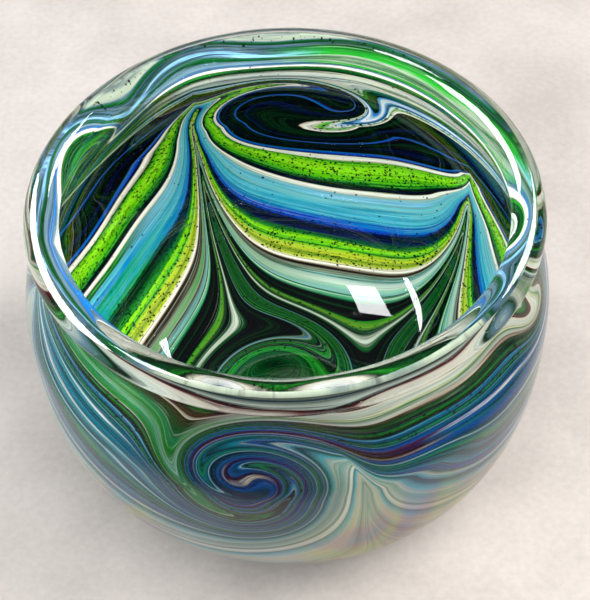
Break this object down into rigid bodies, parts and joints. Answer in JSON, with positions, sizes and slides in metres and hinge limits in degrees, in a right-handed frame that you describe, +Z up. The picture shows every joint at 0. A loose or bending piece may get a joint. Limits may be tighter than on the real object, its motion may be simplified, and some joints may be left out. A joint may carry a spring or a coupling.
{
  "type": "art glass bowl",
  "caption": "Round-bellied blown glass bowl with swirled colour wraps between clear layers, a lustre film and a rounded rolled lip.",
  "frame": {"origin": "centre of the flat base, on the surface that the bowl stands on", "axes": "+Z up along the bowl's axis of revolution; the bowl is round, so +X and +Y are any two level directions, and -Y is the side the picture was taken from"},
  "size_m": [0.15, 0.15, 0.105],
  "materials": {
    "inner_gather": "clear, fire-polished",
    "clear_overlay": "clear, fire-polished",
    "lip_bead": "clear, fire-polished",
    "pontil_button": "clear, ground dish",
    "lustre_film": "iridescent fumed film",
    "floor_eye_forest": "coloured glass, streaked",
    "wrap_01_leaf": "coloured glass, streaked",
    "wrap_02_sky": "coloured glass, streaked",
    "wrap_03_black": "coloured glass, streaked",
    "wrap_04_smoke": "coloured glass, streaked",
    "wrap_05_olive": "coloured glass, streaked",
    "wrap_06_black": "coloured glass, streaked",
    "wrap_07_emerald": "coloured glass, streaked",
    "wrap_08_pale_aqua": "coloured glass, streaked",
    "wrap_09_brown": "coloured glass, streaked",
    "wrap_10_ivory": "coloured glass, streaked",
    "wrap_11_yellow": "coloured glass, streaked",
    "wrap_12_lime": "coloured glass, streaked",
    "wrap_13_navy": "coloured glass, streaked",
    "wrap_14_aqua": "coloured glass, streaked",
    "wrap_15_ivory": "coloured glass, streaked",
    "wrap_16_black": "coloured glass, streaked",
    "wrap_17_lime": "coloured glass, streaked",
    "wrap_18_ivory": "coloured glass, streaked",
    "wrap_19_cobalt": "coloured glass, streaked",
    "wrap_20_black": "coloured glass, streaked",
    "wrap_21_cobalt": "coloured glass, streaked",
    "wrap_22_black": "coloured glass, streaked",
    "wrap_23_ivory": "coloured glass, streaked",
    "wrap_24_lime": "coloured glass, streaked",
    "wrap_25_sky": "coloured glass, streaked",
    "wrap_26_forest": "coloured glass, streaked",
    "wrap_27_ivory": "coloured glass, streaked",
    "wrap_28_forest": "coloured glass, streaked",
    "wrap_29_ivory": "coloured glass, streaked",
    "wrap_30_sky": "coloured glass, streaked",
    "wrap_31_forest": "coloured glass, streaked"
  },
  "bodies": {
    "root": {"inner_gather": "inner_gather", "clear_overlay": "clear_overlay", "lustre_film": "lustre_film", "lip_bead": "lip_bead", "pontil_button": "pontil_button", "floor_eye_forest": "floor_eye_forest", "wrap_01_leaf": "wrap_01_leaf", "wrap_02_sky": "wrap_02_sky", "wrap_03_black": "wrap_03_black", "wrap_04_smoke": "wrap_04_smoke", "wrap_05_olive": "wrap_05_olive", "wrap_06_black": "wrap_06_black", "wrap_07_emerald": "wrap_07_emerald", "wrap_08_pale_aqua": "wrap_08_pale_aqua", "wrap_09_brown": "wrap_09_brown", "wrap_10_ivory": "wrap_10_ivory", "wrap_11_yellow": "wrap_11_yellow", "wrap_12_lime": "wrap_12_lime", "wrap_13_navy": "wrap_13_navy", "wrap_14_aqua": "wrap_14_aqua", "wrap_15_ivory": "wrap_15_ivory", "wrap_16_black": "wrap_16_black", "wrap_17_lime": "wrap_17_lime", "wrap_18_ivory": "wrap_18_ivory", "wrap_19_cobalt": "wrap_19_cobalt", "wrap_20_black": "wrap_20_black", "wrap_21_cobalt": "wrap_21_cobalt", "wrap_22_black": "wrap_22_black", "wrap_23_ivory": "wrap_23_ivory", "wrap_24_lime": "wrap_24_lime", "wrap_25_sky": "wrap_25_sky", "wrap_26_forest": "wrap_26_forest", "wrap_27_ivory": "wrap_27_ivory", "wrap_28_forest": "wrap_28_forest", "wrap_29_ivory": "wrap_29_ivory", "wrap_30_sky": "wrap_30_sky", "wrap_31_forest": "wrap_31_forest"}
  },
  "joints": []
}
